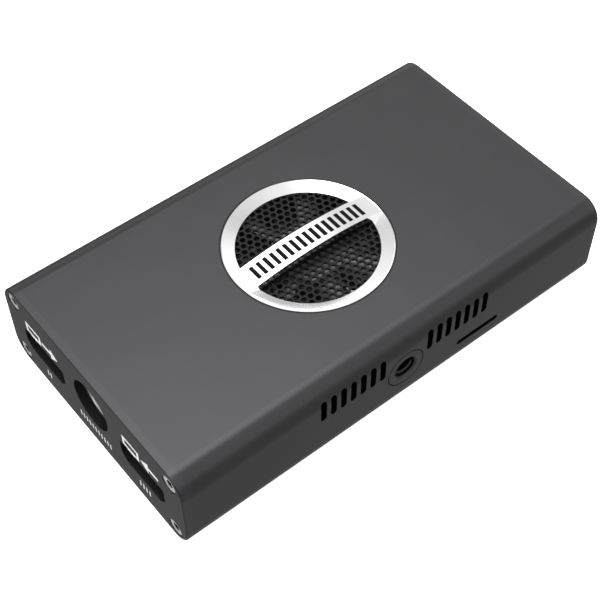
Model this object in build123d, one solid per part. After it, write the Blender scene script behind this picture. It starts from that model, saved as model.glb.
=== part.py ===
from build123d import *
from math import cos, radians, sin, sqrt
import os

# Video encoder: a palm-sized box built into an aluminium tube with flat end panels.
# A fan under the honeycomb grille draws air down over the heatsink and out of the side vents.
# Axes: the origin is the middle of the underside, +X runs from the front panel to the rear
# panel, and +Z points up. The tripod thread and the card slot are in the -Y side.
# All sizes are in millimetres.

# Case tube
case_length = 118.0
case_width = 67.4
corner_radius = 5.2
wall = 1.6

# End panels and their screws
panel_thickness = 2.0
panel_edge = 0.3
screw_from_side = 4.3
screw_from_face = 3.15
screw_radius = 1.2
screw_length = 8.0
screw_head_radius = 2.05
screw_sink = 0.25
screw_gap = 0.05
socket_flats = 2.0
socket_depth = 0.7
screw_land = 2.1
screw_bore_spare = 1.5

# Circuit board and the rails that hold it
under_board = 4.2
board_thickness = 1.6
board_side_gap = 0.3
rail_reach = 2.0
rail_thickness = 1.2
rail_gap = 0.1
headroom = 1.0

# Side vents
vent_count = 7
vent_width = 1.6
vent_height = 6.3
vent_pitch = 2.71
vent_from_middle = 6.75
vent_from_top = 3.4

# Badge ring and its arched bar
badge_radius = 19.5
badge_gap = 0.15
badge_rim = 0.25
badge_inner_radius = 16.4
badge_inner_drop = 0.95
bar_width = 6.3
bar_rise = 2.0
bar_end_drop = 0.15
bar_thickness = 1.5
badge_rounding = 0.2

# Honeycomb grille
mesh_thickness = 0.6
mesh_radius = 22.0
mesh_pitch = 1.82
mesh_web = 0.5

# Fan
fan_side = 40.0
fan_thickness = 6.0
fan_corner = 2.0
fan_below_mesh = 0.3
fan_bore_radius = 19.0
fan_base_thickness = 1.0
fan_flange_thickness = 2.0
fan_hole_from_middle = 16.0
fan_hole_radius = 1.6
fan_screw_pocket_radius = 2.7
spoke_count = 4
spoke_width = 1.8
rotor_gap = 0.4
blade_count = 7
blade_tip_gap = 0.5
blade_thickness = 0.7
blade_camber = 0.9
blade_root_pitch = 46.0
blade_tip_pitch = 27.0
hub_radius = 8.5
hub_wall = 0.8
magnet_thickness = 1.0
magnet_gap = 0.05
shaft_radius = 0.75
shaft_gap = 0.04
bearing_radius = 1.5
bearing_tube_wall = 0.6
fit_gap = 0.02
stator_radius = 5.8
stator_core_radius = 2.9
stator_thickness = 2.0
pole_count = 4
pole_width = 1.6
pole_shoe = 0.8
coil_thickness = 0.5

# Processor, pad, heatsink and the screws through them
processor_side = 21.0
processor_thickness = 2.0
pad_thickness = 0.5
heatsink_base = 1.6
fin_count = 13
fin_thickness = 0.8
post_side = 5.0
post_bore_depth = 3.2
small_screw_radius = 1.0
small_head_radius = 1.9
small_head_height = 1.1
small_screw_grip = 3.0

# Small parts on the board
memory_size = (7.5, 11.0, 1.1)
memory_from_middle = 15.6
support_chip_side = 8.0
support_chip_thickness = 1.0
support_chip_x = -32.0
inductor_side = 6.0
inductor_height = 4.0
inductor_corner = 1.0
capacitor_radius = 3.1
capacitor_height = 7.5
power_behind_socket = 1.5
power_part_pitch = 8.5
power_row_pitch = 7.0

# Video receptacles
video_shell_width = 15.2
video_shell_height = 5.7
video_shell_wall = 0.4
video_shell_length = 9.0
video_corner_cut = 2.0
video_corner_radius = 0.7
video_from_screw = 10.6
video_rise = 0.75
video_back = 3.0
port_gap = 0.3
port_behind_panel = 0.2
tongue_width = 11.2
tongue_thickness = 1.2
tongue_recess = 1.4

# Round receptacle
round_opening_radius = 6.35
round_body_width = 14.0
round_body_height = 13.3
round_body_length = 12.0
round_bore_depth = 8.5
shield_outer_radius = 5.6
shield_thickness = 0.5
shield_bevel = 0.2
shield_bevel_depth = 0.35
core_radius = 3.7
core_recess = 0.6
pin_hole_side = 0.8
pin_rows = (2, 3, 3)
pin_pitch = 1.9
pin_row_pitch = 1.7
key_width = 1.6
key_depth = 0.8

# Network jack
jack_width = 16.0
jack_height = 13.6
jack_length = 18.0
jack_from_side = 8.2
jack_recess = 0.1
jack_mouth_width = 11.8
jack_mouth_height = 7.4
jack_mouth_floor = 2.2
jack_mouth_depth = 13.0
jack_latch_width = 6.2
jack_latch_height = 2.4
jack_contact_count = 8
jack_contact_pitch = 1.02
jack_contact_width = 0.45
jack_contact_angle = 20.0
jack_contact_length = 7.0

# Square receptacle
usb_width = 12.0
usb_height = 10.9
usb_length = 16.0
usb_from_side = 8.7
usb_mouth_width = 8.5
usb_mouth_height = 7.8
usb_mouth_depth = 11.0
usb_corner_cut = 1.5
usb_tongue_width = 5.6
usb_tongue_height = 3.2
usb_tongue_recess = 1.2

# Card slot and socket
card_x = 21.9
card_slot_width = 12.6
card_slot_height = 1.5
card_rise = 0.75
card_socket_width = 14.2
card_socket_length = 15.0
card_socket_height = 1.45
card_socket_gap = 0.2
card_mouth_width = 11.3
card_mouth_height = 0.85
card_mouth_depth = 12.5

# Tripod insert
insert_radius = 5.1
insert_length = 8.0
insert_bore_radius = 2.6
insert_mouth_radius = 3.2
insert_edge = 0.2
insert_above_board = 0.1

# Reset switch
reset_from_socket = 3.3
reset_rise = 2.2
reset_travel = 0.25
reset_hole_radius = 0.8
reset_body = (3.4, 4.4, 4.0)
reset_body_from_panel = 1.6
reset_plunger_radius = 1.0
reset_plunger_proud = 0.7
reset_slide_gap = 0.06
reset_guide_depth = 1.6

# Status lights
light_count = 3
light_pitch = 3.0
light_from_jack = 2.6
light_rise = 5.6
light_radius = 1.0
light_gap = 0.1
light_length = 6.0
led_size = (1.6, 1.2, 0.8)

# Heights of the stack, from the underside up
board_bottom = wall + under_board
board_top = board_bottom + board_thickness
case_height = board_top + jack_height + headroom + wall
ceiling = case_height - wall
mesh_bottom = ceiling - mesh_thickness
fan_top = mesh_bottom - fan_below_mesh
fan_bottom = fan_top - fan_thickness
pad_bottom = board_top + processor_thickness
heatsink_bottom = pad_bottom + pad_thickness

# Lengths along the case
front_face = -case_length / 2
rear_face = case_length / 2
tube_front = front_face + panel_thickness
tube_rear = rear_face - panel_thickness
screw_y = case_width / 2 - screw_from_side
inner_half_width = case_width / 2 - wall

# Centres of the front openings
video_y = screw_y - video_from_screw
video_z = board_top + video_rise + video_shell_height / 2
round_z = board_top + round_body_height / 2
video_mouth = tube_front + port_behind_panel

# Places along the rear panel, and of the power parts behind its square receptacle
socket_face = rear_face - jack_recess
jack_y = jack_from_side + jack_width / 2 - case_width / 2
usb_y = case_width / 2 - usb_from_side - usb_width / 2
first_light_y = jack_y + jack_width / 2 + light_from_jack
reset_y = usb_y - usb_width / 2 - reset_from_socket
capacitor_x = socket_face - usb_length - power_behind_socket - capacitor_radius
inductor_x = capacitor_x - power_row_pitch

# Fan levels
rotor_bottom = fan_bottom + fan_base_thickness + rotor_gap
rotor_top = fan_top - rotor_gap
hub_ceiling = rotor_top - hub_wall
bearing_tube_radius = bearing_radius + fit_gap + bearing_tube_wall
bearing_top = hub_ceiling - rotor_gap
bearing_floor = fan_bottom + fan_base_thickness / 2
stator_bottom = fan_bottom + fan_base_thickness
stator_top = stator_bottom + stator_thickness


def block(x, y, z):
    """A box between the two ends given for each axis."""
    size = Box(x[1] - x[0], y[1] - y[0], z[1] - z[0])
    return Pos((x[0] + x[1]) / 2, (y[0] + y[1]) / 2, (z[0] + z[1]) / 2) * size


def along_x(profile, start, end):
    """Extrude a profile drawn in Y and Z from one X to another."""
    return extrude(Plane.YZ.offset(start) * profile, end - start)


def upward(profile, bottom, top):
    """Extrude a profile drawn in X and Y from one height to another."""
    return extrude(Plane.XY.offset(bottom) * profile, top - bottom)


def rod(radius, bottom, top, x=0.0, y=0.0):
    """An upright round bar."""
    return upward(Pos(x, y) * Circle(radius), bottom, top)


def corners(x, y):
    """The four points of a rectangle that is centred on the origin."""
    return [(i * x, j * y) for i in (-1, 1) for j in (-1, 1)]


def screw_places():
    """Centres of the panel screws, as Y and Z."""
    heights = (screw_from_face, case_height - screw_from_face)
    return [(side * screw_y, z) for side in (-1, 1) for z in heights]


def box_outline(inset=0.0):
    """The rounded outline that the tube and both panels share."""
    width = case_width - 2 * inset
    height = case_height - 2 * inset
    return Pos(0, case_height / 2) * RectangleRounded(width, height, corner_radius - inset)


# Case tube
def rails():
    """Ribs above and below the edges of the board."""
    width = rail_reach + wall / 2
    lower = board_bottom - rail_thickness / 2
    upper = board_top + rail_gap + rail_thickness / 2
    ribs = []
    for side in (-1, 1):
        y = side * (inner_half_width - rail_reach + width / 2)
        for z in (lower, upper):
            ribs.append(Pos(y, z) * Rectangle(width, rail_thickness))
    return ribs


def corner_rib(y, z):
    """Square rib that a panel screw bites into at each end of the tube.

    The upper ribs hang from the ceiling, clear of the vented walls. The lower ones join the walls.
    """
    upper = z > case_height / 2
    side = 1 if y > 0 else -1
    width = 2 * screw_land if upper else inner_half_width + wall / 2 - screw_y + screw_land
    height = screw_from_face - wall / 2 + screw_land
    middle_y = side * (screw_y - screw_land + width / 2)
    middle_z = z + (1 if upper else -1) * (height / 2 - screw_land)
    return Pos(middle_y, middle_z) * Rectangle(width, height)


def tube_section():
    """Section of the extrusion: wall, corner ribs and rails."""
    section = box_outline() - box_outline(wall)
    ribs = rails() + [corner_rib(y, z) for y, z in screw_places()]
    for rib in ribs:
        section += rib & box_outline(wall / 2)
    return section


def screw_bores():
    """Holes drilled into the corner ribs from both ends of the tube."""
    depth = screw_length - panel_thickness + screw_bore_spare
    bore = Circle(screw_radius + screw_gap)
    for y, z in screw_places():
        yield along_x(Pos(y, z) * bore, tube_front, tube_front + depth)
        yield along_x(Pos(y, z) * bore, tube_rear - depth, tube_rear)


def vent_cutters():
    """Upright slots in two groups on each long side, cut through the wall as far as the ribs."""
    depth = screw_from_side - screw_land - fit_gap
    z = case_height - vent_from_top - vent_height / 2
    slot = SlotOverall(vent_height, vent_width)
    for side in (-1, 1):
        for group in (-1, 1):
            for i in range(vent_count):
                x = group * (vent_from_middle + i * vent_pitch)
                face = Plane((x, side * case_width / 2, z), x_dir=(0, 0, 1), z_dir=(0, side, 0))
                yield extrude(face * slot, -depth)


def case_tube():
    tube = along_x(tube_section(), tube_front, tube_rear)
    tube -= rod(badge_radius + badge_gap, ceiling - wall / 2, case_height + wall)
    tube -= list(screw_bores())
    tube -= list(vent_cutters())
    depth = wall + rail_reach + screw_gap
    side_wall = Plane((0, -case_width / 2, 0), x_dir=(1, 0, 0), z_dir=(0, -1, 0))
    insert_hole = Pos(0, insert_z()) * Circle(insert_radius + fit_gap)
    card_slot = Pos(card_x, board_top + card_rise) * SlotOverall(card_slot_width, card_slot_height)
    tube -= extrude(side_wall * insert_hole, -depth)
    tube -= extrude(side_wall * card_slot, -depth)
    return tube


# End panels
def screw_profile(head_radius, radius, length):
    """Half section of a countersunk screw that points down from its head."""
    cone = head_radius - radius
    points = [(0, 0), (head_radius, 0), (radius, -cone), (radius, -length), (0, -length)]
    return make_face(Plane.XZ * Polyline(*points, close=True))


def panel_screw():
    screw = revolve(screw_profile(screw_head_radius, screw_radius, screw_length), Axis.Z)
    socket = RegularPolygon(socket_flats / sqrt(3), 6)
    return screw - upward(socket, -socket_depth, socket_depth)


def panel_hole():
    """Cutter for the countersunk hole of one panel screw."""
    mouth = screw_head_radius + screw_sink + fit_gap
    bore = screw_radius + screw_gap
    return revolve(screw_profile(mouth, bore, panel_thickness + screw_length), Axis.Z)


def outward(face_x, y, z):
    """Plane on an end face that looks away from the case."""
    return Plane((face_x, y, z), x_dir=(0, 1, 0), z_dir=(1 if face_x > 0 else -1, 0, 0))


def panel(face_x, inner_x):
    plate = along_x(box_outline(), min(face_x, inner_x), max(face_x, inner_x))
    outer_face = plate.faces().sort_by(Axis.X)[-1 if face_x > 0 else 0]
    plate = chamfer(outer_face.edges(), panel_edge)
    for y, z in screw_places():
        plate -= outward(face_x, y, z) * panel_hole()
    return plate


def panel_screws(face_x):
    inward = -screw_sink if face_x > 0 else screw_sink
    return [outward(face_x + inward, y, z) * panel_screw() for y, z in screw_places()]


def video_profile(grow=0.0):
    """Outline of a video receptacle: square above, cut corners below."""
    half = video_shell_width / 2 + grow
    top = video_shell_height / 2 + grow
    cut = video_corner_cut
    points = [(-half, top), (-half, cut - top), (cut - half, -top)]
    points += [(half - cut, -top), (half, cut - top), (half, top)]
    outline = Polygon(*points, align=None)
    return fillet(outline.vertices(), video_corner_radius)


def front_panel():
    plate = panel(front_face, tube_front)
    start, end = front_face - panel_edge, tube_front + panel_edge
    for side in (-1, 1):
        plate -= along_x(Pos(side * video_y, video_z) * video_profile(port_gap), start, end)
    plate -= along_x(Pos(0, round_z) * Circle(round_opening_radius), start, end)
    return plate


def light_places():
    """Y of each status light, in a row that starts beside the network jack."""
    return [first_light_y + i * light_pitch for i in range(light_count)]


def rear_panel():
    plate = panel(rear_face, tube_rear)
    start, end = tube_rear - panel_edge, rear_face + panel_edge
    jack_hole = Rectangle(jack_width + 2 * port_gap, jack_height + 2 * port_gap)
    usb_hole = Rectangle(usb_width + 2 * port_gap, usb_height + 2 * port_gap)
    plate -= along_x(Pos(jack_y, board_top + jack_height / 2) * jack_hole, start, end)
    plate -= along_x(Pos(usb_y, board_top + usb_height / 2) * usb_hole, start, end)
    plate -= along_x(Pos(reset_y, board_top + reset_rise) * Circle(reset_hole_radius), start, end)
    for y in light_places():
        plate -= along_x(Pos(y, board_top + light_rise) * Circle(light_radius + light_gap), start, end)
    return plate


# Badge and grille
def badge_ring():
    """A dished ring and a bar that arches over it and sinks into its rim at both ends."""
    rim = case_height + badge_rim
    lip = case_height - badge_inner_drop
    points = [(badge_inner_radius, ceiling), (badge_radius, ceiling), (badge_radius, rim - badge_rounding)]
    points += [(badge_radius - badge_rounding, rim), (badge_inner_radius, lip)]
    ring = revolve(make_face(Plane.XZ * Polyline(*points, close=True)), Axis.Z)
    return ring + crossbar(rim)


def crossbar(rim):
    """The arched bar, cut to the outside of the ring."""
    end = badge_radius - badge_rounding
    end_z = rim - bar_end_drop
    crown = case_height + bar_rise
    arch = ThreePointArc((-end, end_z), (0, crown), (end, end_z))
    inner_end = badge_inner_radius + badge_rounding
    under = ThreePointArc((inner_end, rim - bar_thickness), (0, crown - bar_thickness),
                          (-inner_end, rim - bar_thickness))
    legs = Polyline((end, end_z), (end, ceiling), (inner_end, ceiling), (inner_end, rim - bar_thickness))
    other_legs = Polyline((-inner_end, rim - bar_thickness), (-inner_end, ceiling),
                          (-end, ceiling), (-end, end_z))
    side = make_face(Plane.XZ * Curve([arch, legs, under, other_legs]))
    bar = extrude(side, bar_width / 2, both=True)
    return bar & rod(end, ceiling - wall, crown + wall)


def mesh_holes():
    """Centres of the hexagons that open inside the ring. The outermost run on under it."""
    row_pitch = mesh_pitch * sqrt(3) / 2
    reach = badge_inner_radius + (mesh_pitch - mesh_web) / 2
    rows = int(reach / row_pitch)
    for row in range(-rows, rows + 1):
        y = row * row_pitch
        shift = mesh_pitch / 2 if row % 2 else 0.0
        columns = int(reach / mesh_pitch) + 1
        for column in range(-columns, columns + 1):
            x = column * mesh_pitch + shift
            if sqrt(x * x + y * y) <= reach:
                yield x, y


def intake_mesh():
    """A round plate with a hexagonal hole at each point of a triangular grid."""
    hexagon = RegularPolygon((mesh_pitch - mesh_web) / sqrt(3), 6, rotation=30)
    plate = Circle(mesh_radius)
    plate -= [Pos(x, y) * hexagon for x, y in mesh_holes()]
    return upward(plate, mesh_bottom, ceiling)


# Fan
def fan_frame():
    """Square frame with a round duct, spokes, a base disc and the bearing tube."""
    frame = upward(RectangleRounded(fan_side, fan_side, fan_corner), fan_bottom, fan_top)
    frame -= rod(fan_bore_radius, fan_bottom, fan_top)
    base_top = fan_bottom + fan_base_thickness
    frame += rod(hub_radius, fan_bottom, base_top)
    for i in range(spoke_count):
        middle = (hub_radius + fan_bore_radius) / 2
        spoke = Pos(middle, 0) * Rectangle(fan_bore_radius - hub_radius + 2 * fit_gap + 1, spoke_width)
        frame += Rot(0, 0, (i + 0.5) * 360 / spoke_count) * upward(spoke, fan_bottom, base_top)
    for x, y in corners(fan_hole_from_middle, fan_hole_from_middle):
        frame -= rod(fan_hole_radius, fan_bottom, fan_top, x, y)
        frame -= rod(fan_screw_pocket_radius, fan_bottom + fan_flange_thickness, fan_top, x, y)
    frame += rod(bearing_tube_radius, fan_bottom, bearing_top)
    frame -= rod(bearing_radius + fit_gap, bearing_floor, bearing_top)
    return frame


def blade_section(radius, pitch):
    """Thin cambered section of a blade, in the upright plane that faces outward at a radius."""
    height = rotor_top - rotor_bottom - blade_thickness
    chord = height / sin(radians(pitch))
    crest = blade_camber + blade_thickness / 2
    hollow = blade_camber - blade_thickness / 2
    upper = ThreePointArc((-chord / 2, 0), (0, crest), (chord / 2, 0))
    lower = ThreePointArc((chord / 2, 0), (0, hollow), (-chord / 2, 0))
    face = make_face(Curve([upper, lower]))
    middle = (rotor_top + rotor_bottom) / 2
    upright = Plane((radius, 0, middle - blade_camber / 2), x_dir=(0, 1, 0), z_dir=(1, 0, 0))
    return upright * Rot(0, 0, pitch) * face


def fan_blade():
    """One blade, from inside the hub's wall to the tip."""
    root = hub_radius - hub_wall / 2
    tip = fan_bore_radius - blade_tip_gap
    blade = loft([blade_section(root, blade_root_pitch), blade_section(tip + 1, blade_tip_pitch)])
    sweep = rod(tip, rotor_bottom, rotor_top) - rod(root, rotor_bottom, rotor_top)
    return blade & sweep


def fan_rotor():
    """Hub cup with its ring of blades."""
    cup = rod(hub_radius, rotor_bottom, rotor_top)
    cup -= rod(hub_radius - hub_wall, rotor_bottom, hub_ceiling)
    cup -= rod(shaft_radius + fit_gap, hub_ceiling, rotor_top)
    blade = fan_blade()
    for i in range(blade_count):
        cup += Rot(0, 0, i * 360 / blade_count) * blade
    return cup


def fan_magnet():
    outer = hub_radius - hub_wall - magnet_gap
    ring = rod(outer, rotor_bottom, hub_ceiling)
    return ring - rod(outer - magnet_thickness, rotor_bottom, hub_ceiling)


def fan_shaft():
    return rod(shaft_radius, bearing_floor + fit_gap, rotor_top)


def fan_bearing():
    sleeve = rod(bearing_radius, bearing_floor, bearing_top)
    return sleeve - rod(shaft_radius + shaft_gap, bearing_floor, bearing_top)


def fan_stator():
    """Core with a pole shoe at the end of each arm."""
    star = Circle(stator_core_radius)
    shoe_ring = Circle(stator_radius) - Circle(stator_radius - pole_shoe)
    for i in range(pole_count):
        turn = Rot(0, 0, i * 360 / pole_count)
        arm = Pos(stator_radius / 2, 0) * Rectangle(stator_radius, pole_width)
        star += turn * (arm & Circle(stator_radius))
        wide = Pos(stator_radius, 0) * Rectangle(2 * stator_radius, 2 * pole_width + pole_shoe)
        star += turn * (shoe_ring & wide)
    star -= Circle(bearing_tube_radius + fit_gap)
    return upward(star, stator_bottom + coil_thickness, stator_top + coil_thickness)


def fan_coils():
    """Winding round each arm of the stator."""
    half = pole_width / 2
    start = stator_core_radius + fit_gap
    end = sqrt((stator_radius - pole_shoe) ** 2 - (half + coil_thickness) ** 2) - fit_gap
    bottom = stator_bottom + coil_thickness
    top = stator_top + coil_thickness
    outer = block((start, end), (-half - coil_thickness, half + coil_thickness),
                  (bottom - coil_thickness, top + coil_thickness))
    inner = block((start - 1, end + 1), (-half - fit_gap, half + fit_gap),
                  (bottom - fit_gap, top + fit_gap))
    coil = outer - inner
    return [Rot(0, 0, i * 360 / pole_count) * coil for i in range(pole_count)]


def pan_screw(grip):
    """A small screw that points down, with the underside of its head at zero height."""
    return rod(small_head_radius, 0, small_head_height) + rod(small_screw_radius, -grip, 0)


def fan_screws():
    flange_top = fan_bottom + fan_flange_thickness
    screw = pan_screw(fan_flange_thickness + small_screw_grip)
    return [Pos(x, y, flange_top) * screw for x, y in corners(fan_hole_from_middle, fan_hole_from_middle)]


# Heatsink and what lies under it
def heatsink():
    """Finned plate with a post for each fan screw and two feet on the board."""
    half = fan_side / 2
    sink = upward(Rectangle(fan_side, fan_side), heatsink_bottom, heatsink_bottom + heatsink_base)
    spread = fan_side - fin_thickness
    for i in range(fin_count):
        x = -spread / 2 + i * spread / (fin_count - 1)
        sink += block((x - fin_thickness / 2, x + fin_thickness / 2), (-half, half),
                      (heatsink_bottom, fan_bottom))
    post = Rectangle(post_side, post_side)
    bore = small_screw_radius + screw_gap
    for x, y in corners(fan_hole_from_middle, fan_hole_from_middle):
        sink += upward(Pos(x, y) * post, heatsink_bottom, fan_bottom)
        sink -= rod(bore, fan_bottom - post_bore_depth, fan_bottom, x, y)
    for x, y in foot_places():
        sink += upward(Pos(x, y) * post, board_top, heatsink_bottom)
        sink -= rod(bore, board_top, board_top + post_bore_depth, x, y)
    return sink


def foot_places():
    """The two opposite corners where the heatsink stands on the board."""
    return [(side * fan_hole_from_middle, side * fan_hole_from_middle) for side in (-1, 1)]


def heatsink_screws():
    screw = Rot(180, 0, 0) * pan_screw(board_thickness + small_screw_grip)
    return [Pos(x, y, board_bottom) * screw for x, y in foot_places()]


def on_board(x, y, size):
    """A chip of the given size that lies on the board."""
    return upward(Pos(x, y) * Rectangle(size[0], size[1]), board_top, board_top + size[2])


def memory_chips():
    return [on_board(side * memory_from_middle, 0, memory_size) for side in (-1, 1)]


def support_chips():
    """Receiver chip for each video port, and the network chip near its jack."""
    size = (support_chip_side, support_chip_side, support_chip_thickness)
    places = [(support_chip_x, video_y), (support_chip_x, -video_y), (-support_chip_x, jack_y / 2)]
    return [on_board(x, y, size) for x, y in places]


def power_lanes():
    """Y of the two lanes of power parts behind the square receptacle."""
    return [usb_y - power_part_pitch, usb_y]


def power_inductors():
    size = (inductor_side, inductor_side, inductor_height)
    bodies = [on_board(inductor_x, y, size) for y in power_lanes()]
    return [chamfer(body.edges().filter_by(Axis.Z), inductor_corner) for body in bodies]


def capacitors():
    top = board_top + capacitor_height
    return [rod(capacitor_radius, board_top, top, capacitor_x, y) for y in power_lanes()]


def main_board():
    half = inner_half_width - board_side_gap
    board = block((tube_front + port_behind_panel, tube_rear - port_behind_panel), (-half, half),
                  (board_bottom, board_top))
    for x, y in foot_places():
        board -= rod(small_screw_radius + 2 * screw_gap, board_bottom, board_top, x, y)
    return board


# Front receptacles
def video_shell(side):
    start, end = video_mouth, video_mouth + video_shell_length
    place = Pos(side * video_y, video_z)
    shell = along_x(place * video_profile(), start, end)
    return shell - along_x(place * video_profile(-video_shell_wall), start, end)


def video_insulator(side):
    """Foot under the shell, block behind it and the tongue inside it."""
    y = side * video_y
    back = video_mouth + video_shell_length
    half = video_shell_width / 2
    bottom = video_z - video_shell_height / 2
    top = video_z + video_shell_height / 2
    foot_half = half - video_corner_cut
    foot = block((video_mouth + tongue_recess, back), (y - foot_half, y + foot_half), (board_top, bottom))
    heel = block((back, back + video_back), (y - half, y + half), (board_top, top))
    tongue = block((video_mouth + tongue_recess, back), (y - tongue_width / 2, y + tongue_width / 2),
                   (video_z - tongue_thickness / 2, video_z + tongue_thickness / 2))
    return foot + heel + tongue


def round_port_housing():
    """Square body behind the round opening, bored for the shield."""
    half = round_body_width / 2
    body = block((video_mouth, video_mouth + round_body_length), (-half, half),
                 (board_top, board_top + round_body_height))
    bore = Pos(0, round_z) * Circle(shield_outer_radius + fit_gap)
    return body - along_x(bore, video_mouth, video_mouth + round_bore_depth)


def round_port_shield():
    """Metal ring with a bevelled mouth that leads the plug in."""
    inner = shield_outer_radius - shield_thickness
    points = [(inner + shield_bevel, 0), (shield_outer_radius, 0), (shield_outer_radius, -round_bore_depth)]
    points += [(inner, -round_bore_depth), (inner, -shield_bevel_depth)]
    ring = revolve(make_face(Plane.XZ * Polyline(*points, close=True)), Axis.Z)
    return outward(video_mouth, 0, round_z) * ring


def pin_places():
    """Eight pin holes in three rows, as Y and Z from the middle of the round port."""
    for row, count in enumerate(pin_rows):
        for i in range(count):
            yield (i - (count - 1) / 2) * pin_pitch, (row - 1) * pin_row_pitch


def round_port_core():
    """Insulator with its pin holes and keyway, seated on the floor of the bore."""
    core = Circle(core_radius)
    core -= Pos(0, -core_radius) * Rectangle(key_width, 2 * key_depth)
    core -= [Pos(y, z) * Rectangle(pin_hole_side, pin_hole_side) for y, z in pin_places()]
    return along_x(Pos(0, round_z) * core, video_mouth + core_recess, video_mouth + round_bore_depth)


# Rear receptacles
def jack_mouth_z():
    """Bottom of the plug's mouth in the network jack."""
    return board_top + jack_mouth_floor


def ethernet_jack():
    half = jack_width / 2
    jack = block((socket_face - jack_length, socket_face), (jack_y - half, jack_y + half),
                 (board_top, board_top + jack_height))
    floor = jack_mouth_z()
    mouth_top = floor + jack_mouth_height
    inner = socket_face - jack_mouth_depth
    jack -= block((inner, socket_face), (jack_y - jack_mouth_width / 2, jack_y + jack_mouth_width / 2),
                  (floor, mouth_top))
    jack -= block((inner, socket_face), (jack_y - jack_latch_width / 2, jack_y + jack_latch_width / 2),
                  (mouth_top, mouth_top + jack_latch_height))
    return jack


def ethernet_contacts():
    """Sprung wires that rise from the floor of the mouth towards its back."""
    inner = socket_face - jack_mouth_depth
    wire = Box(jack_contact_length, jack_contact_width, jack_contact_width)
    angle = radians(jack_contact_angle)
    rise = (jack_contact_length * sin(angle) + jack_contact_width * cos(angle)) / 2
    run = (jack_contact_length * cos(angle) + jack_contact_width * sin(angle)) / 2
    first = jack_y - (jack_contact_count - 1) * jack_contact_pitch / 2
    wires = []
    for i in range(jack_contact_count):
        place = Pos(inner + run, first + i * jack_contact_pitch, jack_mouth_z() + rise)
        wires.append(place * Rot(0, jack_contact_angle, 0) * wire)
    return wires


def usb_port_shell():
    half = usb_width / 2
    middle = board_top + usb_height / 2
    shell = block((socket_face - usb_length, socket_face), (usb_y - half, usb_y + half),
                  (board_top, board_top + usb_height))
    mouth = Rectangle(usb_mouth_width, usb_mouth_height)
    upper = mouth.vertices().group_by(Axis.Y)[-1]
    mouth = chamfer(upper, usb_corner_cut)
    return shell - along_x(Pos(usb_y, middle) * mouth, socket_face - usb_mouth_depth, socket_face)


def usb_port_insulator():
    """Tongue that stands on the back wall of the mouth."""
    middle = board_top + usb_height / 2
    return block((socket_face - usb_mouth_depth, socket_face - usb_tongue_recess),
                 (usb_y - usb_tongue_width / 2, usb_y + usb_tongue_width / 2),
                 (middle - usb_tongue_height / 2, middle + usb_tongue_height / 2))


def card_socket():
    """Flat metal socket on the board, open towards the slot in the side."""
    mouth_y = -inner_half_width + rail_reach + card_socket_gap
    half = card_socket_width / 2
    socket = block((card_x - half, card_x + half), (mouth_y, mouth_y + card_socket_length),
                   (board_top, board_top + card_socket_height))
    z = board_top + card_rise
    return socket - block((card_x - card_mouth_width / 2, card_x + card_mouth_width / 2),
                          (mouth_y, mouth_y + card_mouth_depth),
                          (z - card_mouth_height / 2, z + card_mouth_height / 2))


# Tripod insert
def insert_z():
    """Height of the tripod thread's axis."""
    return board_top + insert_above_board + insert_radius


def tripod_insert():
    """Flush round insert with a bevelled rim, a bore for the thread and a countersunk mouth."""
    lead = insert_mouth_radius - insert_bore_radius
    points = [(insert_bore_radius, 0), (insert_bore_radius, insert_length - lead),
              (insert_mouth_radius, insert_length), (insert_radius - insert_edge, insert_length),
              (insert_radius, insert_length - insert_edge), (insert_radius, 0)]
    body = revolve(make_face(Plane.XZ * Polyline(*points, close=True)), Axis.Z)
    inner_end = Plane((0, -case_width / 2 + insert_length, insert_z()), x_dir=(1, 0, 0), z_dir=(0, -1, 0))
    return inner_end * body


# Reset switch and status lights
def reset_front():
    """X of the switch body's front face."""
    return tube_rear - reset_body_from_panel


def reset_switch():
    front = reset_front()
    length, width, height = reset_body
    body = block((front - length, front), (reset_y - width / 2, reset_y + width / 2),
                 (board_top, board_top + height))
    guide = Circle(reset_plunger_radius + reset_slide_gap)
    return body - along_x(Pos(reset_y, board_top + reset_rise) * guide, front - reset_guide_depth, front)


def reset_button():
    front = reset_front()
    back = front - reset_guide_depth + reset_travel + reset_slide_gap
    shape = Pos(reset_y, board_top + reset_rise) * Circle(reset_plunger_radius)
    return along_x(shape, back, front + reset_plunger_proud)


def status_leds():
    x = rear_face - light_length
    return [on_board(x + light_radius, y, led_size) for y in light_places()]


def status_light_pipes():
    """Clear round rods with a square foot that reaches down to the light on the board."""
    z = board_top + light_rise
    start = rear_face - light_length
    pipes = []
    for y in light_places():
        foot = block((start, start + 2 * light_radius), (y - light_radius, y + light_radius),
                     (board_top + led_size[2], z + light_radius))
        pipes.append(foot + along_x(Pos(y, z) * Circle(light_radius), start, rear_face))
    return pipes


def write(name, shape):
    """Write one node, whose pieces may be one solid or several."""
    pieces = list(shape) if isinstance(shape, list) else [shape]
    solids = [solid for piece in pieces for solid in piece.solids()]
    export_step(Compound(children=solids) if len(solids) > 1 else solids[0], f"parts/{name}.step")


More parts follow.
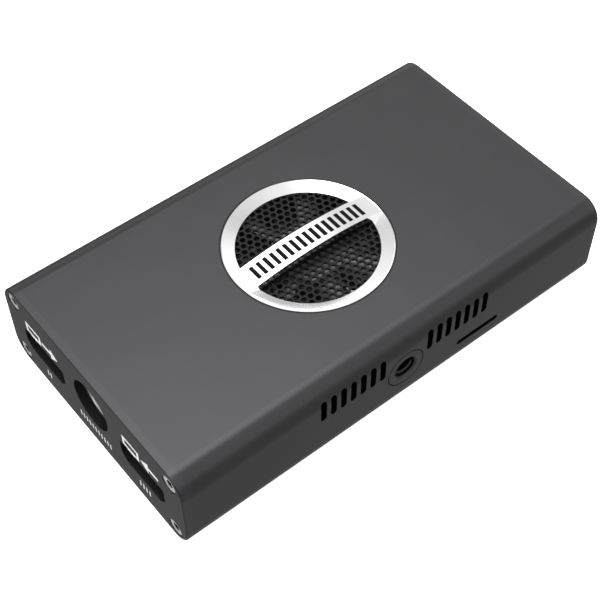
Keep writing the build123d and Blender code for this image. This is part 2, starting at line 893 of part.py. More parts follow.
os.makedirs("parts", exist_ok=True)
write("case_tube", case_tube())
write("front_panel", front_panel())
write("rear_panel", rear_panel())
write("front_panel_screws", panel_screws(front_face))
write("rear_panel_screws", panel_screws(rear_face))
write("badge_ring", badge_ring())
write("intake_mesh", intake_mesh())
write("fan_frame", fan_frame())
write("fan_rotor", fan_rotor())
write("fan_shaft", fan_shaft())
write("fan_magnet", fan_magnet())
write("fan_bearing", fan_bearing())
write("fan_stator", fan_stator())
write("fan_coils", fan_coils())
write("fan_screws", fan_screws())
write("heatsink", heatsink())
write("heatsink_screws", heatsink_screws())
write("thermal_pad", upward(Rectangle(processor_side, processor_side), pad_bottom, heatsink_bottom))
write("processor", on_board(0, 0, (processor_side, processor_side, processor_thickness)))
write("memory_chips", memory_chips())
write("support_chips", support_chips())
write("power_inductors", power_inductors())
write("capacitors", capacitors())
write("main_board", main_board())
write("video_in_shell", video_shell(1))
write("video_in_insulator", video_insulator(1))
write("video_out_shell", video_shell(-1))
write("video_out_insulator", video_insulator(-1))
write("round_port_housing", round_port_housing())
write("round_port_shield", round_port_shield())
write("round_port_core", round_port_core())
write("ethernet_jack", ethernet_jack())
write("ethernet_contacts", ethernet_contacts())
write("usb_port_shell", usb_port_shell())
write("usb_port_insulator", usb_port_insulator())
write("card_socket", card_socket())
write("tripod_insert", tripod_insert())
write("reset_switch", reset_switch())
write("reset_button", reset_button())
write("status_leds", status_leds())
write("status_light_pipes", status_light_pipes())
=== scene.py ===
# %% [markdown]
# This scene dresses a palm-sized video encoder that was modelled in CAD. The CAD gives every rigid shape,
# and this script gives them their finishes, adds the small parts that are easier to model here, and sets
# up the camera and the light. Blender works in metres, and the frame has the same origin and axes as the
# CAD: +X runs from the front panel to the rear panel, +Z points up, and the tripod thread is in the -Y
# side.

from math import pi, radians

import bpy
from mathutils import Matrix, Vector


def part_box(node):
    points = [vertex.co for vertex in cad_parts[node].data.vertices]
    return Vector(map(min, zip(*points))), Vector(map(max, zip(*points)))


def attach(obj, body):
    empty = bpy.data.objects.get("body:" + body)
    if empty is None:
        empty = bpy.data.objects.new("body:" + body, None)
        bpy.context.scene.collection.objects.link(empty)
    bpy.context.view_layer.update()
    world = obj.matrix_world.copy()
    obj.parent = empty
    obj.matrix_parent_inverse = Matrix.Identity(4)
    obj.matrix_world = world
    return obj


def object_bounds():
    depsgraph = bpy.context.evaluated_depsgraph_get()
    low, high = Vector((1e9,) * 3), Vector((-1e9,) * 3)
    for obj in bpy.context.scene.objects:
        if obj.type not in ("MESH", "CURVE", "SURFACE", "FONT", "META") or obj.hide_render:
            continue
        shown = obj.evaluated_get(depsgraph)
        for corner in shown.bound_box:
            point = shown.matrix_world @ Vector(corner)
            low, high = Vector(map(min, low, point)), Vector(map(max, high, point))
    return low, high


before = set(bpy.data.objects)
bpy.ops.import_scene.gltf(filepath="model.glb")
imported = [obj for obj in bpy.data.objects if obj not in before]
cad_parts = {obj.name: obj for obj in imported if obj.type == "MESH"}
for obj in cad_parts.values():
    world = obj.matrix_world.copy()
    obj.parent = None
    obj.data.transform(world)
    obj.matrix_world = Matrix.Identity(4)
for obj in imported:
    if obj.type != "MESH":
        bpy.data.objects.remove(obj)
cad_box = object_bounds()
mm = 0.001
cad_size = (cad_box[1] - cad_box[0]) / mm
print(len(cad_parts), "CAD nodes, size in mm:", [round(side, 2) for side in cad_size])

# %% [markdown]
# A finish is a node tree, and most of it is arithmetic: masks, distances and blends. Wiring that by hand
# takes many lines, so a small class wraps a socket and gives it Python's operators. Then 1 - mask adds a
# Math node, as the same sum would in any other script. Colours go through a Mix node instead, because a
# Math node would turn them grey.


# %% Shader maths as Python expressions
class Wire:
    """An output socket in a node tree, with operators that add Math nodes behind it."""

    def __init__(self, finish, socket):
        self.finish = finish
        self.socket = socket

    def maths(self, operation, *values):
        return self.finish.node("ShaderNodeMath", {"operation": operation}, dict(enumerate(values)))

    def __add__(self, other):
        return self.maths("ADD", self, other)

    def __sub__(self, other):
        return self.maths("SUBTRACT", self, other)

    def __rsub__(self, other):
        return self.maths("SUBTRACT", other, self)

    def __mul__(self, other):
        return self.maths("MULTIPLY", self, other)

    def __truediv__(self, other):
        return self.maths("DIVIDE", self, other)

    def __abs__(self):
        return self.maths("ABSOLUTE", self)

    def __pow__(self, other):
        return self.maths("POWER", self, other)

    def larger(self, other):
        return self.maths("MAXIMUM", self, other)

    def smaller(self, other):
        return self.maths("MINIMUM", self, other)

    def clamped(self):
        return self.larger(0.0).smaller(1.0)

    def sine(self):
        return self.maths("SINE", self)

    __radd__ = __add__
    __rmul__ = __mul__


# %% [markdown]
# Each finish starts from the same three things: a Principled shader, the place on the piece in
# millimetres, and that place split in three. Object coordinates are used because every piece has its
# origin at the frame's, so a pattern is fixed to the part and the same pattern runs on from one piece to
# the next.


# %% A node tree, and a finish that is made with one
class Tree:
    """A node tree, and the one method that adds any node to it."""

    def __init__(self, owner):
        owner.use_nodes = True
        self.tree = owner.node_tree

    def node(self, kind, settings=None, inputs=None, output=0):
        made = self.tree.nodes.new(kind)
        for setting, value in (settings or {}).items():
            setattr(made, setting, value)
        for socket, value in (inputs or {}).items():
            self.connect(value, made.inputs[socket])
        return Wire(self, made.outputs[output])

    def connect(self, value, socket):
        """Link a wire to an input, or set the input to a plain value."""
        if isinstance(value, Wire):
            self.tree.links.new(value.socket, socket)
        else:
            socket.default_value = value

    def split(self, vector):
        made = self.node("ShaderNodeSeparateXYZ", inputs={"Vector": vector}).socket.node
        return [Wire(self, socket) for socket in made.outputs]


class Finish(Tree):
    """A material with a Principled shader, whose colour, gloss and metal can be covered by later coats."""

    def __init__(self, name, **steady):
        self.name = name
        self.material = bpy.data.materials.new(name)
        super().__init__(self.material)
        self.shader = self.tree.nodes["Principled BSDF"]
        for socket, value in steady.items():
            self.feed(socket.replace("_", " "), value)
        metres = self.node("ShaderNodeTexCoord", output="Object")
        scale = {"operation": "SCALE"}
        self.place = self.node("ShaderNodeVectorMath", scale, {"Vector": metres, "Scale": 1 / mm})
        self.x, self.y, self.z = self.split(self.place)

    def noise(self, size, detail=2.0, stretch=(1.0, 1.0, 1.0)):
        """Noise from 0 to 1 whose patches are about the given size in millimetres."""
        place = self.node("ShaderNodeMapping", inputs={"Vector": self.place, "Scale": stretch})
        return self.node("ShaderNodeTexNoise", inputs={"Vector": place, "Scale": 1 / size, "Detail": detail})

    def mix(self, factor, first, second):
        return self.node("ShaderNodeMix", {"data_type": "RGBA"}, {0: factor, 6: first, 7: second}, output=2)

    def bump(self, height, strength, distance=0.02):
        """A bump whose height is in the given number of millimetres."""
        return self.node("ShaderNodeBump", inputs={"Height": height, "Strength": strength,
                                                   "Distance": distance * mm})

    def feed(self, socket, value):
        self.connect(value, self.shader.inputs[socket])

    def surface(self, colour, gloss, metal=0.0):
        """Set what the piece is like, and remember it for a coat on top."""
        self.colour, self.gloss, self.metal = colour, gloss, metal
        self.feed("Base Color", colour)
        self.feed("Roughness", gloss)
        self.feed("Metallic", metal)

    def coat(self, mask, colour, gloss, metal=0.0):
        """Cover the surface with a coat wherever the mask is one."""
        bare = 1 - mask
        self.surface(self.mix(mask, self.colour, colour), bare * self.gloss + mask * gloss,
                     bare * self.metal + mask * metal)

    def paint_shade_and_seams(self, depth, tone=0.004, start=0.1, steepness=8):
        """Paint black below a depth in millimetres: painted shade in recesses, and dark seams. A black metal
        reflects less than a paint.
        """
        self.coat(((depth - start) * steepness).clamped(), grey(tone), 0.6, metal=1.0)


def grey(value, blue=0.0):
    """A neutral colour, with a share more blue if that is given."""
    return (value, value, value * (1 + blue), 1.0)


def give(finish, *names):
    """Put a finish on CAD nodes."""
    for name in names:
        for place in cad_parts[name].material_slots:
            place.material = finish.material
    print(finish.name, "on", ", ".join(names))


# %% [markdown]
# The case is an aluminium extrusion that is blasted with fine beads and then anodised dark grey. Up close
# it is a field of tiny dimples, and from a hand's width away only a soft sheen is left. So the finish has
# three scales of noise: dimples that drive a bump, faint clouds from the anodising bath in the colour,
# and streaks along the extrusion that the blasting didn't quite remove.
#
# Inside the vents and openings the walls are given painted shade, since light hardly reaches them. So a
# finish can be given its depth below the outer skin in millimetres, and is painted black as painted shade
# where that passes a tenth or two. The skin of the tube is a rounded rectangle in Y and Z, and a panel has
# its outer face as well. On the top, a painted shadow runs round the joint of the badge as a fine soft line.


# %% Bead-blasted anodised aluminium
dimple_size = 0.16
streak_size = 1.2
cloud_size = 14.0
along_case = (0.02, 1.0, 1.0)
darkest, lightest = 0.86, 1.14
anodised_blue = 0.04
case_tone = 0.053
panel_tone = 0.058


def blasted_aluminium(name, tone):
    finish = Finish(name)
    dimples = finish.noise(dimple_size, detail=3.0)
    clouds = finish.noise(cloud_size)
    streaks = finish.noise(streak_size, stretch=along_case)
    shade = clouds * 0.5 + streaks * 0.15 + dimples * 0.35
    colour = finish.mix(shade, grey(tone * darkest, anodised_blue), grey(tone * lightest, anodised_blue))
    finish.surface(colour, 0.27 + dimples * 0.10 + clouds * 0.04, 0.92)
    finish.feed("Normal", finish.bump(dimples, 0.12))
    return finish


case_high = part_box("case_tube")[1] / mm
corner_radius = 5.2
joint_shadow_depth = 0.2
joint_shadow_fade = 0.18


def below_skin(finish):
    """Depth below the outer skin of the tube."""
    beside = abs(finish.y) - (case_high.y - corner_radius)
    above = abs(finish.z - case_high.z / 2) - (case_high.z / 2 - corner_radius)
    past_corner = (beside.larger(0.0) ** 2.0 + above.larger(0.0) ** 2.0) ** 0.5
    return corner_radius - past_corner - beside.larger(above).smaller(0.0)


case_finish = blasted_aluminium("case_finish", case_tone)
badge_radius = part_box("badge_ring")[1].x / mm
# Painted shade: below the skin the vents are painted black, and on the top a painted shadow runs round the
# badge, darkest at the joint and gone about half a millimetre out.
past_badge = (case_finish.x ** 2.0 + case_finish.y ** 2.0) ** 0.5 - badge_radius
joint_shadow = (joint_shadow_depth - past_badge * joint_shadow_fade).smaller(case_finish.z - case_high.z / 2)
case_finish.paint_shade_and_seams(below_skin(case_finish).larger(joint_shadow))
give(case_finish, "case_tube")

# %% [markdown]
# White marks are screen-printed on the panels. They are flat ink a few hundredths of a millimetre thick,
# so they are drawn in the finish and not modelled. Each mark is a distance in the plane of the panel,
# below zero inside the mark, and the ink lies where the smallest of all those distances is below zero.
# The marks are plain signs: a screen with an arrow in or out, and rows of ticks.

# %% Distances for printed marks
ink_edge = 0.04
ink_fade = 10
ink_tone = 0.62
ink_gloss = 0.55
panel_shadow = 0.030


def bar_mark(u, v, centre, size):
    """Distance to an upright rectangle."""
    return (abs(u - centre[0]) - size[0] / 2).larger(abs(v - centre[1]) - size[1] / 2)


def frame_mark(u, v, centre, size, line):
    """Distance to the outline of a rectangle."""
    return abs(bar_mark(u, v, centre, size) + line / 2) - line / 2


def arrow_mark(u, v, tip, length, way, head_share=0.45, half_spread=0.6, half_line=0.5):
    """Distance to an arrow along u. Its head is a little wider than it is long."""
    head = length * head_share
    back = (tip[0] - u) * way
    across = abs(v - tip[1])
    point = (across - back * half_spread).larger(back - head)
    shaft = (across - half_line).larger(abs(back - (head + length) / 2) - (length - head) / 2)
    return point.smaller(shaft)


def tick_marks(u, v, centre, count, pitch, size):
    """Distance to a row of equal upright bars."""
    first = centre[0] - (count - 1) * pitch / 2
    marks = [bar_mark(u, v, (first + i * pitch, centre[1]), size) for i in range(count)]
    return nearest(marks)


def nearest(marks):
    distance = marks[0]
    for mark in marks[1:]:
        distance = distance.smaller(mark)
    return distance


def print_on(finish, marks, depth):
    """Lay white ink on the outer face of a panel, and paint black, as painted shade, what lies below it."""
    ink = (0.5 - nearest(marks) / ink_edge).clamped() * (1 - depth * ink_fade).clamped()
    finish.coat(ink, grey(ink_tone), ink_gloss)
    # Painted shade: the walls of the openings behind the outer face are painted black.
    finish.paint_shade_and_seams(depth.smaller(below_skin(finish)), tone=panel_shadow)


# %% [markdown]
# The front panel has the screen and arrow above each video opening, on one line, and ticks below the
# three openings. Seen from outside, +Y is on the left, so an arrow that points left there has its way
# along +Y. The places along the panel come from the openings' own receptacles, which the frame gives, and
# the two lines are at stated heights.


# %% Front panel and its print
def middle_of(node):
    """Middle of a CAD node's box in millimetres."""
    lowest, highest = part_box(node)
    return (lowest + highest) / 2 / mm


panel_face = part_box("front_panel")[0].x / mm
upper_line = 16.3
lower_line = 4.9
screen_size = (6.0, 3.2)
screen_line = 0.8
screen_aside = 3.5
foot_size = (2.6, 0.45)
foot_drop = 1.75
arrow_length = 6.4
arrow_aside = 3.2
tick_size = (0.45, 1.9)
tick_pitch = 1.15
video_in = middle_of("video_in_shell")
video_out = middle_of("video_out_shell")

front_finish = blasted_aluminium("panel_finish", panel_tone)
y, z = front_finish.y, front_finish.z
front_marks = []
for port, way in ((video_in, -1), (video_out, 1)):
    screen = (port.y + screen_aside, upper_line)
    front_marks.append(frame_mark(y, z, screen, screen_size, screen_line))
    front_marks.append(bar_mark(y, z, (screen[0], upper_line - foot_drop), foot_size))
    tip = port.y - arrow_aside + way * arrow_length / 2
    front_marks.append(arrow_mark(y, z, (tip, upper_line), arrow_length, way))
for middle, count in ((video_in.y, 2), (0.0, 11), (video_out.y, 4)):
    front_marks.append(tick_marks(y, z, (middle, lower_line), count, tick_pitch, tick_size))
print_on(front_finish, front_marks, front_finish.x - panel_face)
give(front_finish, "front_panel")

# %% [markdown]
# The rear panel isn't in the photograph. It gets the same finish and the same kind of sign: a tick above
# each light, and a row of ticks or a bar below each socket.

# %% Rear panel and its print
rear_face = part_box("rear_panel")[1].x / mm
network = middle_of("ethernet_jack")
power = middle_of("usb_port_shell")
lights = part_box("status_light_pipes")
light_row = (lights[0] + lights[1]) / 2 / mm

rear_finish = blasted_aluminium("rear_panel_finish", panel_tone)
y, z = rear_finish.y, rear_finish.z
above_lights = 17.6
light_pitch = 3.0
below_sockets = 4.4
rear_marks = [tick_marks(y, z, (light_row.y, above_lights), 3, light_pitch, (0.6, 1.8)),
              tick_marks(y, z, (network.y, below_sockets), 4, 1.6, (0.7, 2.0)),
              bar_mark(y, z, (power.y, below_sockets), (4.8, 0.7))]
print_on(rear_finish, rear_marks, rear_face - rear_finish.x)
give(rear_finish, "rear_panel")

# %% [markdown]
# The badge ring and its arched bar are one polished casting. A polished metal shows what is round it, and
# the last polishing leaves rings that are too fine to see one by one but stretch each reflection. On the
# ring the marks of the polish run round the middle, so the noise is made on the radius, and on the bar
# they run along it. The dark marks on the bar are a plain row of bars.

# %% Polished badge
badge_middle = middle_of("badge_ring")
bar_half_width = 3.15
polish_grain = 9.0
bar_shift = 40.0
mark_count = 17
mark_pitch = 1.85
mark_size = (1.05, 3.9)
crown_rise = 0.3

badge_finish = Finish("badge_metal")
radius = (badge_finish.x ** 2.0 + badge_finish.y ** 2.0) ** 0.5
on_bar = ((bar_half_width - abs(badge_finish.y)) * 20).clamped()
line = radius * (1 - on_bar) + badge_finish.y * on_bar
along = badge_finish.node("ShaderNodeCombineXYZ", inputs={0: line * polish_grain, 1: on_bar * bar_shift})
polish = badge_finish.node("ShaderNodeTexNoise", inputs={"Vector": along, "Scale": 1.0, "Detail": 3.0})
haze = badge_finish.noise(5.0)
dark = tick_marks(badge_finish.x, badge_finish.y, (0.0, 0.0), mark_count, mark_pitch, mark_size)
crown = ((badge_finish.z - (badge_middle.z + crown_rise)) * 20).clamped()
paint = (0.5 - dark / ink_edge).clamped() * crown * on_bar
silver = badge_finish.mix(polish * 0.6 + haze * 0.4, grey(0.84), grey(0.98))
badge_finish.surface(badge_finish.mix(paint, silver, grey(0.008)), 0.12 + polish * 0.10 + paint * 0.3, 1.0)
badge_finish.feed("Normal", badge_finish.bump(polish, 0.06, 0.01))
give(badge_finish, "badge_ring")

# %% [markdown]
# The grille is etched from sheet steel and painted black. Paint settles in faint waves, so a fine noise
# shifts its tone and drives a bump, and a coarse one varies its gloss.

# %% Painted grille
grille_finish = Finish("grille_black", Specular_IOR_Level=0.2)
orange_peel = grille_finish.noise(0.5)
patches = grille_finish.noise(6.0)
grille_finish.surface(grille_finish.mix(orange_peel, grey(0.003), grey(0.007)), 0.34 + patches * 0.22)
grille_finish.feed("Normal", grille_finish.bump(orange_peel, 0.3))
give(grille_finish, "intake_mesh")

# %% [markdown]
# The moulded plastics, plated metals and powder cores of the inner parts differ in tone, gloss and the
# size of their grain, and not in how they are built. So one function makes them all from a few plain
# numbers, and each call names the real material. The grain drives the bump, and a coarser cloud shifts
# the tone and the gloss.


# %% One function for the plainer materials
def grained(name, dark_tone, light_tone, gloss, grain, bumps=0.15, stretch=(1.0, 1.0, 1.0), metal=0.0,
            **steady):
    finish = Finish(name, **steady)
    fine = finish.noise(grain, detail=3.0, stretch=stretch)
    cloud = finish.noise(grain * 14)
    colour = finish.mix(fine * 0.6 + cloud * 0.4, dark_tone, light_tone)
    finish.surface(colour, gloss + (fine - 0.5) * 0.12 + (cloud - 0.5) * 0.10, metal)
    finish.feed("Normal", finish.bump(fine, bumps))
    return finish


# %% Fan
fan_plastic = grained("fan_plastic", grey(0.016), grey(0.028), 0.42, 0.25)
give(fan_plastic, "fan_frame")
rotor_plastic = grained("rotor_plastic", grey(0.190), grey(0.250), 0.30, 0.25)
give(rotor_plastic, "fan_rotor")
magnet_grey = grained("magnet_grey", grey(0.07), grey(0.14), 0.7, 0.2, metal=0.4)
give(magnet_grey, "fan_magnet")
shaft_steel = grained("shaft_steel", grey(0.55), grey(0.75), 0.2, 0.3, stretch=(1.0, 1.0, 6.0), metal=1.0)
give(shaft_steel, "fan_shaft")
bearing_bronze = grained("bearing_bronze", (0.36, 0.22, 0.10, 1), (0.55, 0.36, 0.18, 1), 0.45, 0.1,
                         metal=1.0)
give(bearing_bronze, "fan_bearing")
stator_steel = grained("stator_steel", grey(0.25), grey(0.45), 0.4, 0.35, stretch=(0.05, 0.05, 1.0),
                       metal=1.0)
give(stator_steel, "fan_stator")
coil_copper = grained("coil_copper", (0.45, 0.16, 0.06, 1), (0.75, 0.33, 0.14, 1), 0.3, 0.2,
                      stretch=(0.1, 0.1, 1.0), metal=1.0)
give(coil_copper, "fan_coils")

# %% [markdown]
# The heads of the panel screws are turned bright. Their sockets are deep and narrow, and below the face
# of the head the finish is painted black as painted shade. The same finish with that painted depth serves
# both panels, because the panels stand at equal distances from the middle.

# %% Screws
screw_steel = grained("screw_steel", grey(0.62), grey(0.86), 0.36, 0.3, metal=0.6)
give(screw_steel, "fan_screws", "heatsink_screws")
head_finish = grained("head_steel", grey(0.56), grey(0.78), 0.36, 0.3, metal=0.6)
# Painted shade: the socket below the face of the head is painted black.
head_finish.paint_shade_and_seams(-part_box("front_panel_screws")[0].x / mm - abs(head_finish.x))
give(head_finish, "front_panel_screws", "rear_panel_screws")

# %% Heatsink and pad
heatsink_finish = grained("heatsink_aluminium", grey(0.50), grey(0.66), 0.35, 0.3, stretch=(1.0, 0.03, 1.0),
                          metal=1.0)
give(heatsink_finish, "heatsink")
pad_grey = grained("pad_grey", grey(0.34, 0.06), grey(0.44, 0.06), 0.8, 0.15)
give(pad_grey, "thermal_pad")

# %% [markdown]
# The board is glass fibre laminate under a green solder mask. The weave of the glass shows faintly
# through the mask as a grid of crossing threads, so two waves at right angles are multiplied.

# %% Board and the parts on it
weave_rate = 5.0
mask_dark, mask_light = (0.010, 0.060, 0.028, 1), (0.020, 0.110, 0.050, 1)
board_finish = Finish("board_green", Coat_Weight=0.4)
weave = (board_finish.x * weave_rate).sine() * (board_finish.y * weave_rate).sine() * 0.5 + 0.5
mask_cloud = board_finish.noise(9.0)
lacquer = board_finish.mix(weave * 0.3 + mask_cloud * 0.5, mask_dark, mask_light)
board_finish.surface(lacquer, 0.26 + mask_cloud * 0.08)
board_finish.feed("Normal", board_finish.bump(weave, 0.1))
give(board_finish, "main_board")
chip_black = grained("chip_black", grey(0.016), grey(0.034), 0.55, 0.12)
give(chip_black, "processor", "memory_chips", "support_chips")
inductor_grey = grained("inductor_grey", grey(0.09), grey(0.18), 0.7, 0.18)
give(inductor_grey, "power_inductors")
capacitor_metal = grained("capacitor_metal", grey(0.55), grey(0.75), 0.28, 0.3, stretch=(1.0, 1.0, 0.05),
                          metal=1.0)
give(capacitor_metal, "capacitors")
led_white = grained("led_white", (0.70, 0.70, 0.62, 1), (0.86, 0.86, 0.78, 1), 0.4, 0.2)
give(led_white, "status_leds")

# %% [markdown]
# The shells of the sockets are nickel-plated sheet, whose rolling marks run along the shell. Those of the
# video sockets and the card socket are darker. The insulators are moulded in black, the contacts are
# flashed with gold, and the light guides are clear plastic.

# %% Sockets
socket_metal = grained("socket_metal", grey(0.36), grey(0.56), 0.30, 0.3, stretch=(0.05, 1.0, 1.0),
                       metal=1.0)
give(socket_metal, "round_port_shield", "ethernet_jack", "usb_port_shell")
dark_metal = grained("dark_metal", grey(0.30), grey(0.42), 0.40, 0.3, stretch=(0.05, 1.0, 1.0),
                     metal=1.0)
give(dark_metal, "video_in_shell", "video_out_shell", "card_socket")
socket_plastic = grained("socket_plastic", grey(0.050), grey(0.080), 0.45, 0.2)
give(socket_plastic, "video_in_insulator", "video_out_insulator", "round_port_housing", "round_port_core",
     "usb_port_insulator", "reset_switch")
contact_gold = grained("contact_gold", (0.62, 0.42, 0.14, 1), (0.88, 0.66, 0.28, 1), 0.22, 0.25,
                       metal=1.0)
give(contact_gold, "ethernet_contacts")
button_white = grained("button_white", grey(0.62), grey(0.74), 0.45, 0.2)
give(button_white, "reset_button")
light_clear = grained("light_clear", (0.78, 0.84, 0.80, 1), (0.90, 0.94, 0.92, 1), 0.18, 0.4,
                      bumps=0.05, Transmission_Weight=0.6, IOR=1.49)
give(light_clear, "status_light_pipes")

# %% [markdown]
# The tripod insert is pressed in flush and blasted together with the tube, so its face has the same
# finish. What shows is the fine dark seam round its rim, and the bore, which is painted black as painted
# shade except for a band at the first turn of the thread, where the light falls on the plain finish. All of
# that comes from the distance to its axis and the depth below the side.

# %% Tripod insert
rim_line = 0.25
black_from = 0.2
lit_turn = 1.35
lit_half_width = 0.35
insert_low, insert_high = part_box("tripod_insert")
insert_middle = (insert_low + insert_high) / 2 / mm
insert_finish = blasted_aluminium("insert_finish", case_tone)
from_axis = ((insert_finish.x - insert_middle.x) ** 2.0 + (insert_finish.z - insert_middle.z) ** 2.0) ** 0.5
rim = (from_axis - (insert_high.z / mm - insert_middle.z - rim_line)).larger(0.0)
depth = insert_finish.y - insert_low.y / mm
past_first_turn = abs(depth - lit_turn) - lit_half_width
# Painted shade: the bore is painted black except round the first turn, and the rim gets a dark seam.
insert_finish.paint_shade_and_seams((depth - black_from).smaller(past_first_turn).larger(rim * 10))
give(insert_finish, "tripod_insert")

# %% [markdown]
# The tripod thread is a ridge that winds down the bore. It is a small three-sided profile beside the axis,
# turned into a helix by the Screw modifier: each turn moves it on by the thread's pitch. The profile's
# outer edge sits just inside the wall of the insert so that no gap shows, and its crest points at the axis.
# The modifier leaves both ends open and may turn the faces inwards, so the ends are filled and the normals
# are recalculated.


# %% Helpers for modelling
def begin():
    """Deselect everything, because an operator acts on all that is selected."""
    if bpy.context.object and bpy.context.object.mode != "OBJECT":
        bpy.ops.object.mode_set(mode="OBJECT")
    bpy.ops.object.select_all(action="DESELECT")


def settle(piece, name, finish, body="case"):
    """Bake the object's place into its mesh, name it, and put its finish, slot and body on it."""
    begin()
    piece.select_set(True)
    bpy.context.view_layer.objects.active = piece
    bpy.ops.object.transform_apply(location=True, rotation=True, scale=True)
    bpy.context.scene.cursor.location = (0, 0, 0)
    bpy.ops.object.origin_set(type="ORIGIN_CURSOR")
    piece.name = piece.data.name = name
    piece.data.materials.clear()
    piece.data.materials.append(finish.material)
    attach(piece, body)
    print(name, len(piece.data.polygons), "faces")


def apply_modifiers(piece):
    bpy.context.view_layer.objects.active = piece
    for modifier in list(piece.modifiers):
        bpy.ops.object.modifier_apply(modifier=modifier.name)


# %% Tripod thread
thread_pitch = 1.27 * mm
profile_radius = 0.36 * mm
bore_radius = 2.6 * mm
thread_start = 0.7 * mm
thread_turns = 5
steps_per_turn = 32

begin()
bpy.ops.mesh.primitive_circle_add(vertices=3, radius=profile_radius, fill_type="NGON",
                                  location=(bore_radius - profile_radius / 3, 0, 0),
                                  rotation=(pi / 2, -pi / 2, 0))
thread = bpy.context.object
bpy.ops.object.transform_apply(location=True, rotation=True, scale=True)
helix = thread.modifiers.new("helix", "SCREW")
helix.angle = 2 * pi * thread_turns
helix.screw_offset = thread_pitch * thread_turns
helix.steps = helix.render_steps = steps_per_turn * thread_turns
apply_modifiers(thread)
bpy.ops.object.mode_set(mode="EDIT")
bpy.ops.mesh.select_all(action="SELECT")
bpy.ops.mesh.fill_holes(sides=3)
bpy.ops.mesh.normals_make_consistent(inside=False)
bpy.ops.object.mode_set(mode="OBJECT")
bpy.ops.object.shade_smooth_by_angle(angle=radians(40))
thread.rotation_euler = (pi / 2, 0, 0)
thread.location = ((insert_low.x + insert_high.x) / 2, insert_high.y - thread_start,
                   (insert_low.z + insert_high.z) / 2)
settle(thread, "tripod_thread", insert_finish)

# %% [markdown]
# A video socket has nineteen contacts, ten on top of its tongue and nine below. One contact is a strip
# with a rounded nose. It is modelled once from a cube, its front edge is bevelled, and an Array modifier
# sets the rest of the row beside it.


# %% Contact strips
def contact_row(name, start, y_middle, z_face, up, count, length, width, thickness, pitch):
    """A row of strips along X on a tongue, from its free end inwards."""
    begin()
    middle = (start + length / 2, y_middle - (count - 1) * pitch / 2, z_face + up * thickness / 2)
    bpy.ops.mesh.primitive_cube_add(size=1.0, location=middle, scale=(length, width, thickness))
    strip = bpy.context.object
    bpy.ops.object.transform_apply(location=False, rotation=False, scale=True)
    bpy.ops.object.mode_set(mode="EDIT")
    bpy.ops.mesh.select_all(action="DESELECT")
    bpy.ops.object.mode_set(mode="OBJECT")
    for edge in strip.data.edges:
        ends = [strip.data.vertices[i].co for i in edge.vertices]
        edge.select = all(end.x < 0 and end.z * up > 0 for end in ends)
    bpy.ops.object.mode_set(mode="EDIT")
    bpy.ops.mesh.select_mode(type="EDGE")
    bpy.ops.mesh.bevel(offset=thickness * 0.8, segments=3)
    bpy.ops.object.mode_set(mode="OBJECT")
    row = strip.modifiers.new("row", "ARRAY")
    row.use_relative_offset = False
    row.use_constant_offset = True
    row.constant_offset_displace = (0, pitch, 0)
    row.count = count
    apply_modifiers(strip)
    settle(strip, name, contact_gold)


tongue_half = 0.6 * mm
contact_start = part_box("video_in_insulator")[0].x + 0.3 * mm
video_contact = {"length": 6.4 * mm, "width": 0.5 * mm, "thickness": 0.08 * mm, "pitch": 1.0 * mm}
for name, port in (("video_in", video_in), ("video_out", video_out)):
    for side, up, count in (("upper", 1, 10), ("lower", -1, 9)):
        contact_row(f"{name}_{side}_contacts", contact_start, port.y * mm,
                    port.z * mm + up * tongue_half, up, count, **video_contact)

# %% Contacts of the square receptacle
usb_contact_reach = 7.4 * mm
usb_contact = {"length": 7.0 * mm, "width": 1.0 * mm, "thickness": 0.1 * mm, "pitch": 2.4 * mm}
usb_low, usb_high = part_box("usb_port_insulator")
for side, up, face in (("upper", 1, usb_high.z), ("lower", -1, usb_low.z)):
    contact_row(f"usb_{side}_contacts", usb_high.x - usb_contact_reach,
                (usb_low.y + usb_high.y) / 2, face, up, 2, **usb_contact)

# %% [markdown]
# The floor is a plain pale sheet that runs past the edges of the view, with a trace of mottle so that it
# is not one flat value.

# %% Floor
floor_side = 6.0
begin()
bpy.ops.mesh.primitive_plane_add(size=floor_side, location=(0, 0, 0))
floor = bpy.context.object
floor.name = "floor"
floor_finish = Finish("floor_paper", Specular_IOR_Level=0.2, Emission_Color=grey(1.0), Emission_Strength=0.85)
mottle = floor_finish.noise(60.0)
floor_finish.surface(floor_finish.mix(mottle, grey(0.78), grey(0.82)), 0.7 + mottle * 0.1)
floor.data.materials.append(floor_finish.material)
floor.visible_glossy = False
print("floor", floor_side, "m wide")

# %% [markdown]
# The camera was solved from the outline of the case in the photograph, with the corners of the box as
# known points. It stands about 30 cm away, in front of the near corner, and looks down by some 51
# degrees. No shift is needed.

# %% Camera
camera_place = Vector((-118.96, -146.35, 240.20)) * mm
camera_turn = (38.517, 0.205, -38.799)
sensor_width = 36.0
focal_length = 77.234
bpy.ops.object.camera_add(location=camera_place, rotation=[radians(angle) for angle in camera_turn])
camera = bpy.context.object
camera.data.sensor_width = sensor_width
camera.data.lens = focal_length
bpy.context.scene.camera = camera
print("camera", [round(v, 4) for v in camera.location])

# %% [markdown]
# The photograph has a white surround and no hard shadow, and the polished badge shows what stood round
# it. A softbox overhead is brightest on the left and fades towards the right, grey canvas hangs round it,
# and the canvas gets whiter towards the horizon, high up in the south and low down in the east. The floor
# is hidden from reflections, so a dim floor glow takes its place there. The world below works all this
# out from the direction of a ray: a slope is the way that the ray goes east or north for each step up,
# and in slopes the sides of the softbox are straight lines. Where the camera itself sees past the floor,
# the world is plain white. One more soft light stands in front of the panel.


# %% Light
case_middle = Vector((0, 0, 12)) * mm


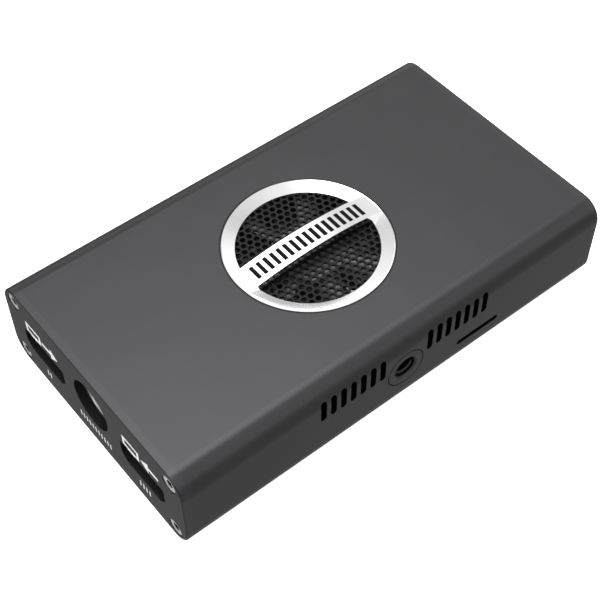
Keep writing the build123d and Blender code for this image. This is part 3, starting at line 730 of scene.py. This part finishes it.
def soft_light(name, place, size, power):
    """An oblong light that faces the middle of the case."""
    aim = (Vector(place) - case_middle).to_track_quat("Z", "Y")
    bpy.ops.object.light_add(type="AREA", location=place, rotation=aim.to_euler())
    light = bpy.context.object
    light.name = name
    light.data.shape = "RECTANGLE"
    light.data.size, light.data.size_y = size
    light.data.energy = power
    print(name, power, "W")


soft_light("front", (-0.70, 0.00, 0.25), (0.40, 0.40), 0.3)

# %% Tent
lowest_up = 0.05
box_west, box_south, box_north = 0.52, 0.07, 0.75
box_slant = 0.08
box_start, box_fade, box_peak = 6.1, 7.0, 4.2
canvas_tone = 0.60
canvas_low = 0.78
canvas_east_from = 0.7
south_edge, south_start, south_light = -8.0, 0.9, 0.6
east_low, east_start, east_light = 0.40, 0.5, 20
horizon_tilt = 0.35
floor_glow, floor_fade = 0.38, 0.16

tent = bpy.data.worlds.new("tent")
tent_tree = Tree(tent)
toward = tent_tree.node("ShaderNodeTexCoord", output="Generated")
east, north, up = tent_tree.split(toward)
slope_east = east / up.larger(lowest_up)
slope_north = north / up.larger(lowest_up)
box_sides = ((slope_east + box_west) * 8).clamped() * ((slope_north + box_south) * 12).clamped()
box_far_side = ((slope_east * box_slant + box_north - slope_north) * 10).clamped()
softbox = box_sides * box_far_side * (box_start - slope_east * box_fade).smaller(box_peak)
canvas = (canvas_low - up).larger(0.0) + (east - canvas_east_from).larger(0.0) * 2 + canvas_tone
canvas_south = (north * south_edge - south_start).clamped() * up * south_light
canvas_east = (east_low - up).larger(0.0) * (east - east_start).larger(0.0) * east_light
canvas = canvas + canvas_south + canvas_east
sky = ((up + north.smaller(0.0) * horizon_tilt) * 8).clamped()
glow = sky * softbox.larger(canvas) + (1 - sky) * (floor_glow - north * floor_fade)
glow = glow.larger(tent_tree.node("ShaderNodeLightPath", output="Is Camera Ray"))
background = tent_tree.tree.nodes["Background"]
background.inputs["Color"].default_value = (1, 1, 1, 1)
tent_tree.connect(glow, background.inputs["Strength"])
bpy.context.scene.world = tent
print("tent", len(tent_tree.tree.nodes), "nodes")
bpy.context.scene.view_settings.view_transform = "Standard"
